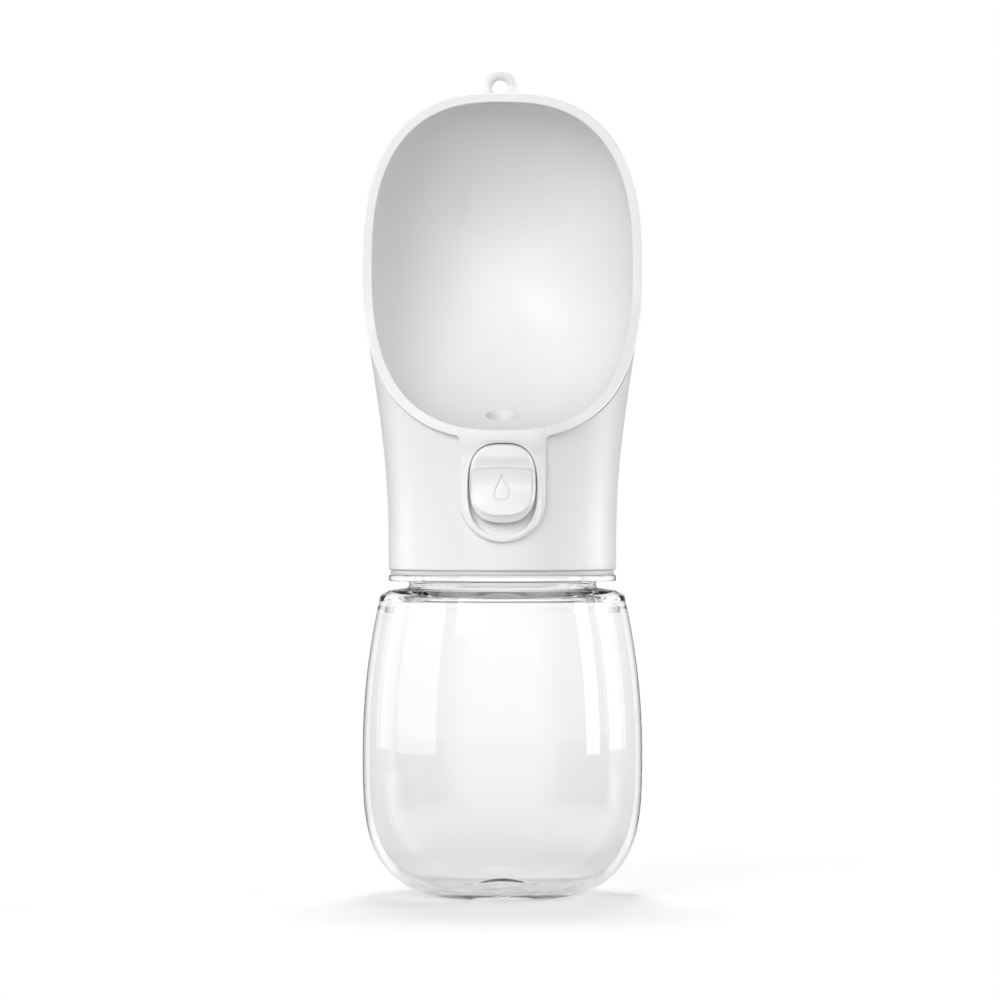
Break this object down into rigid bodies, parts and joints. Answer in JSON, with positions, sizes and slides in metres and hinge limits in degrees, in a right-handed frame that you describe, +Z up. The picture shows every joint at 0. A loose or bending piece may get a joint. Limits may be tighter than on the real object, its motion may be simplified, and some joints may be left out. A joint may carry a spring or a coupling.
{
  "type": "dog travel water bottle",
  "caption": "Clear water bottle with a white screw-on head: a deep drinking scoop, a thumb button that opens a valve, and a carrying eye.",
  "frame": {"origin": "middle of the tank's base, on the surface it stands on", "axes": "+Z up along the bottle's axis; the scoop and the button face -Y, +X is to the right seen from the front"},
  "size_m": [0.081, 0.081, 0.2395],
  "materials": {
    "clear_plastic": "clear, polished",
    "white_plastic": "white, satin gloss",
    "frame_plastic": "cool white, satin",
    "button_plastic": "white, fine matte",
    "inner_plastic": "natural white",
    "slider_plastic": "light grey",
    "grey_silicone": "matte grey silicone",
    "dark_rubber": "black nitrile",
    "spring_steel": "stainless"
  },
  "bodies": {
    "tank": {"tank": "clear_plastic"},
    "gasket": {"neck_gasket": "grey_silicone"},
    "head": {"head_shell": "white_plastic", "front_frame": "frame_plastic", "valve_body": "inner_plastic", "mouth_seal": "grey_silicone", "outlet_seal": "grey_silicone", "stem_guide": "inner_plastic", "valve_spring": "spring_steel", "rod_seal": "dark_rubber", "seal_retainer": "inner_plastic", "slider_guide": "slider_plastic", "guide_screws": "spring_steel", "detent_pin": "spring_steel", "detent_spring": "spring_steel"},
    "rod": {"push_rod": "inner_plastic"},
    "valve": {"valve_stem": "inner_plastic", "valve_disc": "grey_silicone", "disc_retainer": "inner_plastic", "disc_screw": "spring_steel", "stem_clip": "spring_steel"},
    "lock": {"lock_slider": "slider_plastic", "button_spring": "spring_steel"},
    "button": {"button_cap": "button_plastic"}
  },
  "joints": [
    {"name": "head_rise", "type": "slide", "parent": "tank", "child": "gasket", "axis": [0, 0, 1], "range_m": [0, 0.01]},
    {"name": "head_turn", "type": "hinge", "parent": "gasket", "child": "head", "pos_m": [0, 0, 0.0944], "axis": [0, 0, 1], "range_deg": [0, 450]},
    {"name": "lock_slide", "type": "slide", "parent": "head", "child": "lock", "axis": [0, 0, 1], "range_m": [-0.0031, 0]},
    {"name": "button_press", "type": "slide", "parent": "lock", "child": "button", "axis": [0, 1, 0], "range_m": [0, 0.003], "stiffness_N_per_m": 1200, "springref_m": -0.002, "deforming": ["button_spring"]},
    {"name": "rod_push", "type": "slide", "parent": "head", "child": "rod", "axis": [0, 1, 0], "range_m": [0, 0.003]},
    {"name": "valve_open", "type": "slide", "parent": "head", "child": "valve", "axis": [0, 0, -1], "range_m": [0, 0.003], "deforming": ["valve_spring"]}
  ],
  "couplings": [
    {"joint": "head_rise", "follows": "head_turn", "m_per_rad": 0.0012732},
    {"joint": "rod_push", "follows": "button_press", "ratio": 1},
    {"joint": "valve_open", "follows": "button_press", "ratio": 1}
  ]
}
